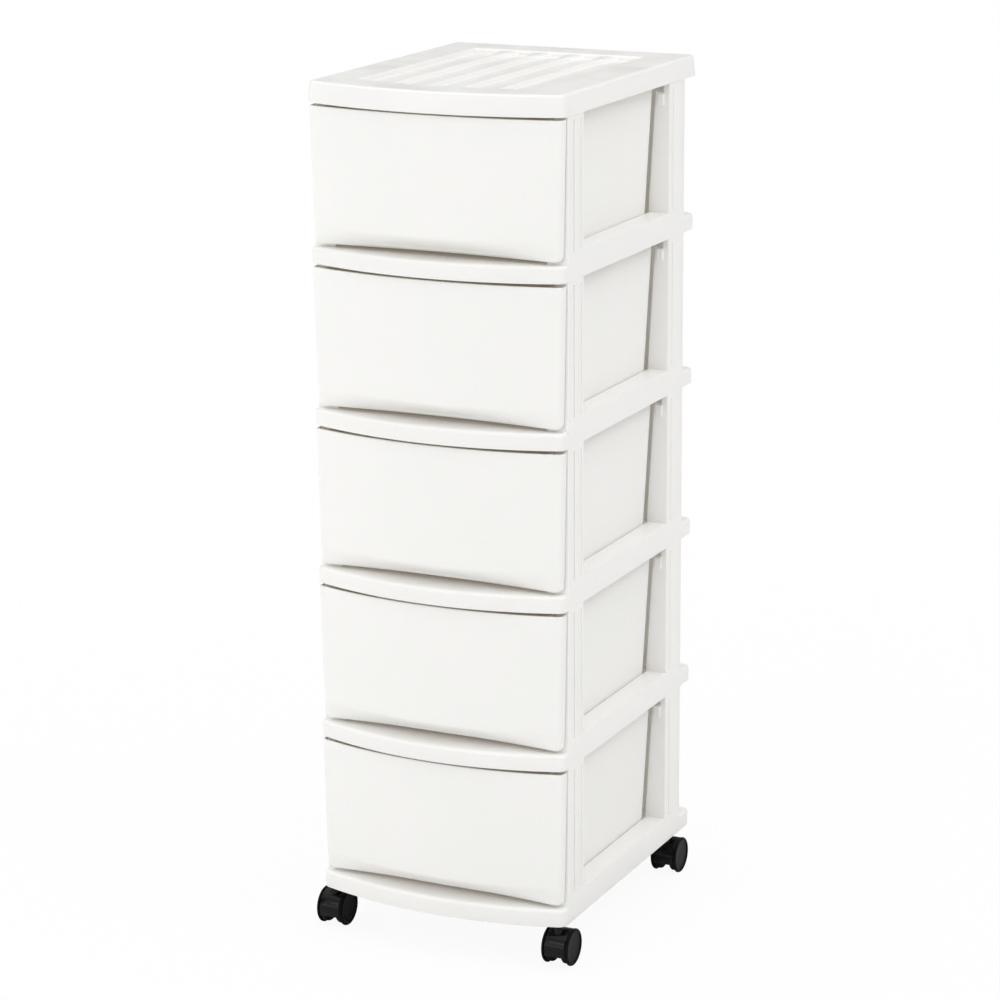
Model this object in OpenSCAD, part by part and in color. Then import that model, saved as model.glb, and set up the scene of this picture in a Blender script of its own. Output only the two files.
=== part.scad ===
// Slim drawer tower: five drawers in an open plastic frame that rolls on four twin-wheel casters.
// X runs left to right, Y from front to back and Z up. The origin is on the floor, under the middle.
// Bays, drawers and shelves are numbered from the top. Lengths are in millimetres.

/* [Tower] */
// Width across the shelves
tower_w = 300; // [290:1:320]
// Depth of the base, from the middle of its bowed front to its back edge
tower_d = 384; // [378:1:400]
// How far the base and the drawer fronts bow forward in the middle
bow = 25; // [18:1:30]
// How far the shelves bow forward
shelf_bow = 29; // [20:1:32]
// How far the lid bows forward
lid_bow = 27; // [20:1:31]
// Height of the base's underside above the floor
base_z = 47.5; // [46:0.5:52]
// Height of a bay, from one side rail up to the next
bay_h = 150.2; // [140:0.2:170]
// Height of the top bay, which the lid closes
top_bay_h = 145.1; // [136:0.1:165]
// Wall thickness of the moulded pieces
wall = 2.4; // [2:0.1:3]

/* [Shelves and lid] */
// Height of a shelf's side rail
rail_h = 29.2; // [27:0.2:34]
// Height of the base's side rail
base_rail_h = 30.7; // [29:0.1:36]
// Distance from one side rail's inner face to the other's
rail_gap = 251; // [246:1:254]
// How far a shelf's plate lies below the top of its side rails
plate_drop = 11; // [9:0.5:12]
// Height of the lid
lid_h = 23.1; // [20:0.1:28]
// How far the lid's lower edge stands out past the shelves
lid_overhang = 1.5; // [1:0.5:3]
// Depth of the lid's recessed panel
recess_depth = 5; // [3:0.1:6]
// Spacing of the ribs in the recessed panel
lid_rib_pitch = 41; // [36:1:44]

/* [Posts] */
// Where the front posts' front faces are
post_front_y = -155.5; // [-157:0.5:-154]
// Depth of a front post
front_post_d = 40.6; // [36:0.2:44]
// Depth of a back post
back_post_d = 44.2; // [40:0.2:46]
// Where the back posts' rear faces are
post_back_y = 160.2; // [156:0.2:164]
// How far the back posts' rear webs reach in behind the drawers
rear_web = 53; // [30:1:60]
// Length of the plugs that join posts to shelves
plug_len = 8; // [6:0.5:9]

/* [Drawers] */
// Half width of a drawer's box at its bottom
box_half = 124.3; // [122:0.1:124.5]
// Lean of the box's side walls from the vertical, in degrees
box_draft = 3.46; // [2.5:0.01:3.6]
// Where the box's rear wall ends
box_back_y = 112.6; // [104:0.2:113]
// Gap between the top of a drawer front and the shelf above it
front_gap = 2.6; // [1.6:0.2:7]
// Gap between the top drawer's front and the lid
top_front_gap = 1.8; // [1.4:0.2:7]
// Height of the crease on a drawer front, above the side rail's top
crease_h = 12.5; // [10:0.5:15]
// Depth of the bottom edge of a drawer front, below the side rail's top
front_drop = 7.5; // [6:0.5:8.5]

/* [Casters] */
// Radius of a caster wheel
wheel_r = 21; // [19:0.5:21.5]
// Width across the two wheels of a caster
caster_w = 32; // [31:0.5:36]
// Distance of the swivel stems from the tower's middle, sideways
stem_x = 140.5; // [136:0.5:141]
// Where the front casters' stems are
front_stem_y = -160.5; // [-161:0.5:-158]
// Where the back casters' stems are
back_stem_y = 147.7; // [145:0.1:155]
// How far the axle trails behind the stem
trail = 6; // [4:0.5:7]
// Radius of a swivel stem
stem_r = 3.2; // [3:0.1:3.5]

/* [Hidden] */
$fn = 64;

plastic = [0.94, 0.94, 0.93];
drawer_plastic = [0.97, 0.97, 0.96];
caster_black = [0.09, 0.09, 0.09];
steel = [0.7, 0.7, 0.7];

half_w = tower_w / 2;
front_y = -tower_d / 2;
back_y = tower_d / 2;
front_corner_r = 10;
back_corner_r = 8;
running = 0.05;
last = 5;

// Top of the side rails that bay i stands on
function rail_z(i) = base_z + base_rail_h + (last - i) * (bay_h + rail_h);
// Underside of what closes bay i
function ceiling_z(i) = rail_z(i) + (i == 1 ? top_bay_h : bay_h);

// Radius of a front that bows forward by b, and where its centre lies. All the bows meet the sides
// of the tower on the same line.
function bow_r(b) = (half_w * half_w + b * b) / (2 * b);
function bow_centre(b) = front_y + bow - b + bow_r(b);

// Right half of the plan outline, set in by inset all round: bowed front, front corner, back corner.
// An angle of 0 points to the front and 90 to the right.
function right_half(inset, corner_r, rear_r, side_in, b) =
    let (r = bow_r(b) - inset,
         corner_x = half_w - inset - side_in - corner_r,
         corner_y = bow_centre(b) - sqrt(pow(r - corner_r, 2) - corner_x * corner_x),
         meet = atan2(corner_x, bow_centre(b) - corner_y),
         rear_x = half_w - inset - side_in - rear_r,
         rear_y = back_y - inset - rear_r)
    concat(
        [for (i = [0:12]) let (a = meet * i / 12) [r * sin(a), bow_centre(b) - r * cos(a)]],
        [for (i = [1:6]) let (a = meet + (90 - meet) * i / 6)
            [corner_x + corner_r * sin(a), corner_y - corner_r * cos(a)]],
        [for (i = [0:6]) let (a = 90 + 15 * i) [rear_x + rear_r * sin(a), rear_y - rear_r * cos(a)]]
    );

// Whole plan outline. A negative inset makes it larger.
function plan(inset, corner_r = front_corner_r, rear_r = back_corner_r, side_in = 0, b = bow) =
    let (half = right_half(inset, corner_r, rear_r, side_in, b))
    concat(half, [for (i = [len(half) - 1:-1:1]) [-half[i][0], half[i][1]]]);

// Block between two corners
module block(low, high) {
    translate(low) cube(high - low);
}

// ---- posts ----

front_post_back_y = post_front_y + front_post_d;
back_post_front_y = post_back_y - back_post_d;
front_plug_y = post_front_y + front_post_d / 2;
back_plug_y = post_back_y - back_post_d / 2;
post_clear = 1.2;
post_in = rail_gap / 2 + 0.6;
back_post_in = rail_gap / 2 - 0.3;
plug_x = half_w - 11.5;
plug_w = 10;
plug_d = 20;
plug_fit = 0.2;

// Groove in a post's outer face
module groove(y, w, depth, z, h) {
    block([half_w - depth, y - w / 2, z], [half_w + 1, y + w / 2, z + h]);
}

// The drawer's lean, cut along a post's inner edge
module lean_cut(inner, y, d, z, h) {
    translate([inner, y - 1, z]) rotate([0, box_draft, 0])
        block([-30, 0, -20], [0, d + 2, h + 40]);
}

// Channel that stands in a bay and opens inwards, with a plug at each end
module post_channel(inner, y, d, z, h) {
    difference() {
        block([inner, y, z], [half_w, y + d, z + h]);
        block([inner - 1, y + wall, z + wall], [half_w - wall, y + d - wall, z + h - wall]);
        lean_cut(inner, y, d, z, h);
    }
    for (end = [z - plug_len, z + h])
        block([plug_x - plug_w / 2, y + d / 2 - plug_d / 2, end],
              [plug_x + plug_w / 2, y + d / 2 + plug_d / 2, end + plug_len]);
}

module front_post(i) {
    z = rail_z(i);
    h = ceiling_z(i) - z;
    difference() {
        post_channel(post_in, post_front_y, front_post_d, z, h);
        groove(post_front_y + 15.5, 3, 1.3, z + 1, h - 6);
        groove(post_front_y + 33.4, 1.8, 0.7, z + 1, h - 6);
    }
}

// The back post's front web carries a small guide block, with a notch above it. Its rear web reaches
// in behind the drawers and stands on the plate.
module back_post(i) {
    z = rail_z(i);
    h = ceiling_z(i) - z;
    difference() {
        post_channel(back_post_in, back_post_front_y, back_post_d, z, h);
        groove(back_post_front_y + 11.2, 1.8, 0.7, z + 1, h - 6);
        block([post_in, back_post_front_y - 1, z + h - 10], [half_w - 7, back_post_front_y + wall, z + h + 1]);
    }
    block([half_w - 13.4, back_post_front_y - 4, z + h - 24.8],
          [half_w - 6, back_post_front_y + 0.5, z + h - 11.1]);
    block([half_w - rear_web, post_back_y - wall, z], [half_w - wall, post_back_y, z + h]);
    block([half_w - rear_web, post_back_y - wall, z - plate_drop], [rail_in - 0.3, post_back_y, z + 0.1]);
}

module post(i, side, front) {
    color(plastic) mirror([side < 0 ? 1 : 0, 0, 0])
        if (front) front_post(i);
        else back_post(i);
}

// ---- shelves, base and lid ----

rail_in = rail_gap / 2;
collar = 2.6;
rib_t = 1.8;

// Collar under a rail or the lid that a post's plug goes into
module plug_collar(side, y, low, high) {
    x = side * plug_x;
    block([x - plug_w / 2 - collar, y - plug_d / 2 - collar, low],
          [x + plug_w / 2 + collar, y + plug_d / 2 + collar, high]);
}

module plug_hole(side, y, low, high) {
    x = side * plug_x;
    block([x - plug_w / 2 - plug_fit, y - plug_d / 2 - plug_fit, low],
          [x + plug_w / 2 + plug_fit, y + plug_d / 2 + plug_fit, high]);
}

// Everything of a plan that lies between two distances from the middle, on both sides
module side_band(from, to) {
    for (side = [-1, 1]) translate([side * (from + to) / 2, 0])
        square([to - from, tower_d + 20], center = true);
}

// Plate with a skirt all round, and a raised rail along each side where the posts stand. below says
// whether there are posts under it too.
module shelf(top, h, b, below = true) {
    under = top - h;
    plate = top - plate_drop;
    difference() {
        union() {
            difference() {
                union() {
                    translate([0, 0, under]) linear_extrude(plate - under) polygon(plan(0, b = b));
                    for (side = [-1, 1]) mirror([side < 0 ? 1 : 0, 0, 0])
                        block([rail_in, post_front_y, under], [half_w, post_back_y, top]);
                }
                translate([0, 0, under - 1]) linear_extrude(plate - wall - under + 1) difference() {
                    polygon(plan(wall, front_corner_r - wall, back_corner_r - wall, b = b));
                    side_band(rail_in, rail_in + wall);
                }
                for (side = [-1, 1]) mirror([side < 0 ? 1 : 0, 0, 0])
                    block([rail_in + wall, post_front_y + wall, under - 1],
                          [half_w - wall, post_back_y - wall, top - wall]);
            }
            for (side = [-1, 1], y = [front_plug_y, back_plug_y]) plug_collar(side, y, under, top - wall);
            for (x = [-75, 0, 75])
                block([x - rib_t / 2, front_y + 30, under + 2], [x + rib_t / 2, back_y - wall, plate - wall]);
            for (y = [-110, 0, 110])
                block([-rail_in, y - rib_t / 2, under + 2], [rail_in, y + rib_t / 2, plate - wall]);
        }
        for (side = [-1, 1], y = [front_plug_y, back_plug_y]) {
            plug_hole(side, y, top - plug_len - 0.5, top + 1);
            if (below) plug_hole(side, y, under - 1, under + plug_len + 0.5);
        }
    }
}

socket_r = 6;
boss_r = 8.5;
socket_low = base_z + 1;
socket_high = base_z + base_rail_h - plate_drop - wall;

module at_stems() {
    for (x = [-stem_x, stem_x], y = [front_stem_y, back_stem_y]) translate([x, y, 0]) children();
}

module base_frame() {
    color(plastic) difference() {
        union() {
            shelf(base_z + base_rail_h, base_rail_h, bow, below = false);
            at_stems() translate([0, 0, socket_low]) cylinder(r = boss_r, h = socket_high - socket_low + 0.5);
        }
        at_stems() translate([0, 0, base_z - 1]) cylinder(r = socket_r + running, h = socket_high - base_z + 1);
    }
}

// Bushings that hold the stems
module caster_sockets() {
    color(caster_black) at_stems() difference() {
        translate([0, 0, socket_low]) cylinder(r = socket_r, h = socket_high - socket_low - 0.2);
        translate([0, 0, socket_low - 1]) cylinder(r = stem_r + running, h = socket_high - socket_low - 1);
    }
}

lid_z = rail_z(1) + top_bay_h;
lid_top = lid_z + lid_h;
recess_half_w = 2.5 * lid_rib_pitch;
recess_front = front_y + 42;
recess_back = 150;
ramp = 5;
lid_rib_h = recess_depth - 1;
lid_rib_half = 5;
lid_rib_flare = 8;
lid_under = lid_top - recess_depth - wall;
lid_rib_r = (lid_rib_half * lid_rib_half + lid_rib_h * lid_rib_h) / (2 * lid_rib_h);

// Thin slice of the lid's outline, for the hulls that form its flared skirt
module lid_slice(inset, z) {
    translate([0, 0, z]) linear_extrude(0.2)
        polygon(plan(inset, front_corner_r + inset / 3, back_corner_r, b = lid_bow));
}

module lid_form(inset, low, high) {
    hull() {
        lid_slice(inset - lid_overhang, low);
        lid_slice(inset + 0.6, high - 5);
        lid_slice(inset + 2.2, high - 1.4);
        lid_slice(inset + 4.2, high - 0.2);
    }
}

// Thin slice across a rib, for the hull that forms its flared end
module rib_slice(x, y, half) {
    translate([x, y, lid_top - recess_depth - 0.3]) rotate([90, 0, 0]) linear_extrude(0.2)
        polygon([[-half, 0], [half, 0], [half - 2, lid_rib_h + 0.3], [2 - half, lid_rib_h + 0.3]]);
}

// Rib with a rounded back that lies along Y and widens as it meets the recess's back wall
module lid_rib(x) {
    translate([x, 0, lid_top - recess_depth]) rotate([90, 0, 0])
        translate([0, 0, -140]) linear_extrude(280) intersection() {
            translate([0, lid_rib_h - lid_rib_r]) circle(r = lid_rib_r);
            translate([-lid_rib_half - 1, -0.3]) square([2 * lid_rib_half + 2, lid_rib_h + 1]);
        }
    hull() {
        rib_slice(x, recess_back - 54, lid_rib_half - 0.6);
        rib_slice(x, recess_back - 0.5, lid_rib_half + lid_rib_flare);
    }
}

// Pocket with a bowed front edge, and a sloping wall at its back
module lid_recess() {
    floor_z = lid_top - recess_depth;
    intersection() {
        rotate([90, 0, 90]) translate([0, 0, -recess_half_w]) linear_extrude(2 * recess_half_w)
            polygon([[front_y, floor_z], [recess_back - ramp, floor_z], [recess_back, lid_top],
                     [recess_back, lid_top + 1], [front_y, lid_top + 1]]);
        translate([0, bow_centre(lid_bow), floor_z - 1])
            cylinder(r = bow_centre(lid_bow) - recess_front, h = 10, $fn = 180);
    }
}

module lid() {
    color(plastic) difference() {
        union() {
            difference() {
                lid_form(0, lid_z, lid_top);
                lid_form(wall, lid_z - 1, lid_under);
                lid_recess();
            }
            for (k = [-1.5:1:1.5]) lid_rib(k * lid_rib_pitch);
            for (x = [-75, 0, 75])
                block([x - rib_t / 2, front_y + 30, lid_z + 2], [x + rib_t / 2, back_y - wall, lid_under + 1]);
            for (y = [-110, 0, 110])
                block([1 - half_w, y - rib_t / 2, lid_z + 2], [half_w - 1, y + rib_t / 2, lid_under + 1]);
            for (side = [-1, 1], y = [front_plug_y, back_plug_y])
                plug_collar(side, y, lid_z, lid_under);
        }
        for (side = [-1, 1], y = [front_plug_y, back_plug_y])
            plug_hole(side, y, lid_z - 1, lid_z + plug_len + 0.5);
    }
}

// ---- drawers ----

panel_back_y = post_front_y - 1.3;
chin_y = front_y + bow + 3.8;
slide_gap = 0.6;
panel_side_in = 1.5;
panel_corner_r = 5;
box_corner_r = 7;
runner_x = 112;
runner_front_y = -150;

function panel_top(i) = ceiling_z(i) - (i == 1 ? top_front_gap : front_gap);
function box_low(i) = rail_z(i) - plate_drop + slide_gap;
// Underside of the drawer's floor, level with the bottom edge of its front
function floor_low(i) = rail_z(i) - front_drop;
function box_h(i) = panel_top(i) - 1.5 - box_low(i);
// Half width of a drawer's box at a height above its bottom
function half_at(h) = box_half + h * tan(box_draft);

// Tapered tub with leaning sides, set in by inset: balls at its bottom corners, thin discs at the top
module tub(i, inset, y_front, h) {
    r = box_corner_r - inset;
    hull() for (side = [-1, 1], y = [y_front + r, box_back_y - inset - r]) {
        translate([side * (half_at(inset) - inset - r), y, box_low(i) + inset + r]) sphere(r = r, $fn = 32);
        translate([side * (half_at(h) - inset - r), y, box_low(i) + h - 0.2])
            cylinder(r = r, h = 0.2, $fn = 32);
    }
}

// Thin slice of a drawer front's outline: the bowed front, cut off at the front's back
module panel_slice(inset, side_in, set_back, z) {
    translate([0, set_back, z]) linear_extrude(0.2) intersection() {
        polygon(plan(inset, panel_corner_r - inset / 2, 5, side_in));
        translate([-half_w, front_y - 1]) square([tower_w, panel_back_y - front_y + 1 - set_back]);
    }
}

// A drawer front bows like the shelves from its top edge to the crease. Below the crease it sweeps
// back to a straight bottom edge, which leaves a finger pull over the shelf's lip.
module panel_form(i, inset) {
    z = rail_z(i);
    r = panel_corner_r;
    hull() {
        panel_slice(inset, panel_side_in, 0, panel_top(i) - 0.2 + inset);
        panel_slice(inset, panel_side_in + 2.3, 1.5, z + crease_h + inset / 2);
        for (side = [-1, 1]) translate([side * (half_w - panel_side_in - 3 - r), 0, z - front_drop + r])
            rotate([90, 0, 0]) translate([0, 0, -panel_back_y])
                cylinder(r = r - inset, h = panel_back_y - chin_y - inset, $fn = 32);
    }
}

// One moulding: a box with leaning sides, closed in front by the bowed front. The front is wider
// than the box, and its hollow ends return to the posts. The box slides on a runner along each
// side, between which its floor is raised, as it is in front of them.
module drawer(i) {
    color(drawer_plastic) difference() {
        union() {
            tub(i, 0, chin_y + 1.2, box_h(i));
            panel_form(i, 0);
        }
        intersection() {
            tub(i, wall, front_y - 20, box_h(i) + 3);
            difference() {
                union() {
                    panel_form(i, wall);
                    block([-half_w, panel_back_y - 0.2, box_low(i)], [half_w, back_y, panel_top(i) + 5]);
                }
                block([-runner_x - wall, front_y, box_low(i) - 1],
                      [runner_x + wall, back_y + 1, floor_low(i) + wall]);
                block([-half_w, front_y, box_low(i) - 1],
                      [half_w, runner_front_y + wall, floor_low(i) + wall]);
            }
        }
        block([-runner_x, front_y, box_low(i) - 1], [runner_x, back_y, floor_low(i)]);
        block([-half_w, front_y, box_low(i) - 1], [half_w, runner_front_y, floor_low(i)]);
        difference() {
            translate([0, 0.5, 0]) panel_form(i, wall);
            tub(i, 0, front_y - 20, box_h(i) + 5);
        }
    }
}

// ---- casters ----

hood_half = caster_w / 2 - 3.5;
hood_r = wheel_r - 0.5;
hood_t = 1;
hub_half = 5.5;
axle_r = 2;
wheel_in = hub_half + 0.7;
tread_r = hood_r - hood_t - 0.4;
flange_w = 3.2;

module at_caster(x, y) {
    translate([x, y, 0]) children();
}

// Swivel stem, from inside the hood up into its bushing
module stem(x, y) {
    color(steel) at_caster(x, y) translate([0, 0, wheel_r + 10])
        cylinder(r = stem_r, h = base_z + 14 - wheel_r - 10);
}

// Cylinder that lies along X, centred on the axle
module lying(r, half, turn = 0) {
    rotate([0, 90, 0]) translate([0, 0, -half]) cylinder(r = r, h = 2 * half);
}

// Hood: a shell over the wheels' tops and fronts, and a web between the wheels that holds the axle
module hood(x, y) {
    color(caster_black) at_caster(x, y + trail) difference() {
        union() {
            translate([0, 0, wheel_r]) difference() {
                union() {
                    difference() {
                        lying(hood_r, hood_half);
                        lying(hood_r - hood_t, hood_half + 1);
                    }
                    lying(hood_r - hood_t / 2, 2.5);
                }
                rotate([90, 0, 90]) translate([0, 0, -20]) linear_extrude(40)
                    polygon([[0, -5], [-30, -9], [-30, -40], [30, -40], [30, 8]]);
            }
            translate([0, 0, wheel_r]) lying(5, hub_half);
            translate([0, -trail, wheel_r + 7]) cylinder(r = hub_half, h = base_z - 1.2 - wheel_r - 7);
        }
        translate([0, 0, wheel_r]) lying(axle_r + 0.02, hub_half + 1);
        translate([0, -trail, wheel_r + 9]) cylinder(r = stem_r + running, h = hood_r);
    }
}

module axle(x, y) {
    color(steel) at_caster(x, y + trail) translate([0, 0, wheel_r]) lying(axle_r, caster_w / 2 - 2.2);
}

// Wheel whose outer rim is proud of the hood. side is 1 for the one on the right.
module wheel(x, y, side) {
    face = caster_w / 2;
    color(caster_black) at_caster(x, y + trail) translate([0, 0, wheel_r]) mirror([side < 0 ? 1 : 0, 0, 0])
        rotate([0, 90, 0]) rotate_extrude($fn = 96) polygon([
            [axle_r + 0.08, wheel_in], [tread_r - 2, wheel_in], [tread_r - 0.6, wheel_in + 0.6],
            [tread_r, wheel_in + 2], [tread_r, face - flange_w],
            [wheel_r - 0.6, face - flange_w], [wheel_r, face - flange_w + 0.6], [wheel_r, face - 1.2],
            [wheel_r - 1.2, face], [wheel_r - 2.6, face], [wheel_r - 3, face - 0.6], [wheel_r - 3.8, face - 0.6],
            [wheel_r - 4.2, face], [0, face], [0, face - 1.6], [axle_r + 0.08, face - 1.6]
        ]);
}

// ---- the assembly ----

lid();
color(plastic) shelf(rail_z(1), rail_h, shelf_bow);  // shelf_1
color(plastic) shelf(rail_z(2), rail_h, shelf_bow);  // shelf_2
color(plastic) shelf(rail_z(3), rail_h, shelf_bow);  // shelf_3
color(plastic) shelf(rail_z(4), rail_h, shelf_bow);  // shelf_4
base_frame();
post(1, -1, true);  // post_1_front_left
post(1, 1, true);  // post_1_front_right
post(1, -1, false);  // post_1_back_left
post(1, 1, false);  // post_1_back_right
post(2, -1, true);  // post_2_front_left
post(2, 1, true);  // post_2_front_right
post(2, -1, false);  // post_2_back_left
post(2, 1, false);  // post_2_back_right
post(3, -1, true);  // post_3_front_left
post(3, 1, true);  // post_3_front_right
post(3, -1, false);  // post_3_back_left
post(3, 1, false);  // post_3_back_right
post(4, -1, true);  // post_4_front_left
post(4, 1, true);  // post_4_front_right
post(4, -1, false);  // post_4_back_left
post(4, 1, false);  // post_4_back_right
post(5, -1, true);  // post_5_front_left
post(5, 1, true);  // post_5_front_right
post(5, -1, false);  // post_5_back_left
post(5, 1, false);  // post_5_back_right
drawer(1);  // drawer_1
drawer(2);  // drawer_2
drawer(3);  // drawer_3
drawer(4);  // drawer_4
drawer(5);  // drawer_5
caster_sockets();
stem(-stem_x, front_stem_y);  // stem_front_left
hood(-stem_x, front_stem_y);  // hood_front_left
axle(-stem_x, front_stem_y);  // axle_front_left
wheel(-stem_x, front_stem_y, -1);  // wheel_outer_front_left
wheel(-stem_x, front_stem_y, 1);  // wheel_inner_front_left
stem(stem_x, front_stem_y);  // stem_front_right
hood(stem_x, front_stem_y);  // hood_front_right
axle(stem_x, front_stem_y);  // axle_front_right
wheel(stem_x, front_stem_y, 1);  // wheel_outer_front_right
wheel(stem_x, front_stem_y, -1);  // wheel_inner_front_right
stem(-stem_x, back_stem_y);  // stem_back_left
hood(-stem_x, back_stem_y);  // hood_back_left
axle(-stem_x, back_stem_y);  // axle_back_left
wheel(-stem_x, back_stem_y, -1);  // wheel_outer_back_left
wheel(-stem_x, back_stem_y, 1);  // wheel_inner_back_left
stem(stem_x, back_stem_y);  // stem_back_right
hood(stem_x, back_stem_y);  // hood_back_right
axle(stem_x, back_stem_y);  // axle_back_right
wheel(stem_x, back_stem_y, 1);  // wheel_outer_back_right
wheel(stem_x, back_stem_y, -1);  // wheel_inner_back_right
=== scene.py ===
# %% [markdown]
# # A drawer tower, surface by surface
#
# The tower is five bow-fronted plastic drawers in an open frame of trays and corner posts, on four
# twin-wheel casters. Almost all of it is injection-moulded white plastic, so its look rests on
# small radii: a moulded edge is never sharp, and the thin bright line that it catches is what makes
# a white piece readable against another white piece. Every visible one is then worked out again
# with numpy at the same place, with its real radii.

import bmesh
import bpy
import numpy as np
from mathutils import Matrix


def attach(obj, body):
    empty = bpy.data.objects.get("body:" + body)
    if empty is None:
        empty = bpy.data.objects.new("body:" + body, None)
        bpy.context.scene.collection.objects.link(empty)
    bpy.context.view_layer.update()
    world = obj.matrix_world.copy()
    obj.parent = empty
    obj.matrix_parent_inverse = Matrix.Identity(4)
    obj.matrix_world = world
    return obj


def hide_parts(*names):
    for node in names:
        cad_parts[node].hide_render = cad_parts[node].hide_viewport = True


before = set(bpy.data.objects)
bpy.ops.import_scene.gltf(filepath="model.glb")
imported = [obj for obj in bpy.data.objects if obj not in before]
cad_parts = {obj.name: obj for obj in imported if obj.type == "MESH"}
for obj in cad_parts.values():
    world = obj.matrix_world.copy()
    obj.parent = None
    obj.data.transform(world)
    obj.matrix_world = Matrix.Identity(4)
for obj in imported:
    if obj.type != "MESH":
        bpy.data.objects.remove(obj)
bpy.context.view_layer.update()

# %% [markdown]
# ## Sizes
#
# All the sizes below are in millimetres and are the ones that the parts were drawn with. The plan
# of a tray is 300 wide. Its front bows forward in the middle, as part of a circle: by 25 on the
# base and the drawers, by 29 on the shelves, whose lips stand out past the drawers, and by 27 on
# the lid. All these circles meet the sides at the same y.

# %% Sizes in millimetres
HALF_W, BACK, CORNER_Y = 150.0, 192.0, -167.0
BOW, SHELF_BOW, LID_BOW = 25.0, 29.0, 27.0
WALL = 2.4
BASE_Z, BASE_RAIL, RAIL = 47.5, 30.7, 29.2
BAY, TOP_BAY, LID_H = 150.2, 145.1, 23.1
PLATE_DROP = 11.0
RAIL_IN, RAIL_FRONT, RAIL_BACK = 125.5, -155.5, 160.2
DRAFT = np.tan(np.radians(3.46))


def rail_z(bay):
    """Top of the rails that a bay stands on. Bays are numbered from the top, one tray apart."""
    return BASE_Z + BASE_RAIL + (5 - bay) * (BAY + RAIL)


def ceiling_z(bay):
    """Underside of what closes a bay: its floor plus its height, less in the lid's bay."""
    return rail_z(bay) + (TOP_BAY if bay == 1 else BAY)


def bow(x, inset=0.0, reach=BOW):
    """y at x of a front that bows forward by reach, inset mm inside it. The circle's radius is
    R = (w^2 + reach^2) / (2 reach), and y = centre - sqrt((R - inset)^2 - x^2)."""
    radius = (HALF_W**2 + reach**2) / (2 * reach)
    return CORNER_Y - reach + radius - np.sqrt((radius - inset) ** 2 - np.square(x))


print("rail tops", [round(rail_z(b), 1) for b in range(5, 0, -1)], "front", bow(0.0))

# %% [markdown]
# ## From arrays to a mesh
#
# A surface is a grid of points: rows and columns of x, y and z. Four neighbours make a face, so
# the faces follow from the grid's size alone and no loop over points is needed. A piece is several
# such grids whose borders coincide. Merging the doubled points closes the seams, and then the
# normals can be turned outwards in one step.

# %% Surface
MM = 0.001


class Surface:
    """Collects grids and flat caps of points in millimetres, and makes them one mesh in metres."""

    def __init__(self):
        self.points, self.corners, self.counts, self.total = [], [], [], 0

    def _indices(self, points):
        """Keeps the points and returns their running numbers, in the same arrangement."""
        points = np.asarray(points, float)
        shape = points.shape[:-1]
        first, count = self.total, int(np.prod(shape))
        self.points.append(points.reshape(-1, 3))
        self.total += count
        return first + np.arange(count).reshape(shape)

    def grid(self, points, closed=False):
        """rows x columns x 3: each cell becomes one face. closed joins the last column to the
        first."""
        index = self._indices(points)
        if closed:
            index = np.hstack([index, index[:, :1]])
        quads = np.stack([index[:-1, :-1], index[:-1, 1:], index[1:, 1:], index[1:, :-1]], -1)
        self.corners.append(quads.reshape(-1))
        self.counts.append(np.full(quads.shape[0] * quads.shape[1], 4))
        return self

    def cap(self, ring):
        """One flat face over a closed ring of points."""
        index = self._indices(ring)
        self.corners.append(index)
        self.counts.append(np.array([len(index)]))
        return self

    def solid(self, rings):
        """A stack of closed rings, with a cap on the first and on the last."""
        return self.grid(rings, closed=True).cap(rings[0]).cap(rings[-1])

    def piece(self, name, mirrored=False, smooth=32.0):
        """The merged mesh as an object at the origin. Edges sharper than smooth degrees stay
        crisp."""
        co = np.vstack(self.points) * MM
        if mirrored:
            co[:, 0] *= -1
        corners, counts = np.concatenate(self.corners), np.concatenate(self.counts)
        mesh = bpy.data.meshes.new(name)
        mesh.vertices.add(len(co))
        mesh.vertices.foreach_set("co", co.reshape(-1))
        mesh.loops.add(len(corners))
        mesh.loops.foreach_set("vertex_index", corners.astype(np.int32))
        mesh.polygons.add(len(counts))
        starts = np.concatenate([[0], np.cumsum(counts)[:-1]])
        mesh.polygons.foreach_set("loop_start", starts.astype(np.int32))
        mesh.update(calc_edges=True)
        work = bmesh.new()
        work.from_mesh(mesh)
        bmesh.ops.remove_doubles(work, verts=work.verts, dist=2e-6)
        bmesh.ops.dissolve_degenerate(work, edges=work.edges, dist=1e-6)
        bmesh.ops.recalc_face_normals(work, faces=work.faces)
        work.to_mesh(mesh)
        work.free()
        mesh.polygons.foreach_set("use_smooth", np.ones(len(mesh.polygons), bool))
        mesh.set_sharp_from_angle(angle=np.radians(smooth))
        made = bpy.data.objects.new(name, mesh)
        bpy.context.scene.collection.objects.link(made)
        return made


def quarter(steps=6):
    """Angles of a quarter turn, 0 to 90 degrees."""
    return np.linspace(0, np.pi / 2, steps + 1)


def at_height(ring, z):
    """A plan ring (n x 2) lifted to z, which is one number or one per point."""
    return np.column_stack([ring, np.broadcast_to(z, len(ring))])


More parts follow.
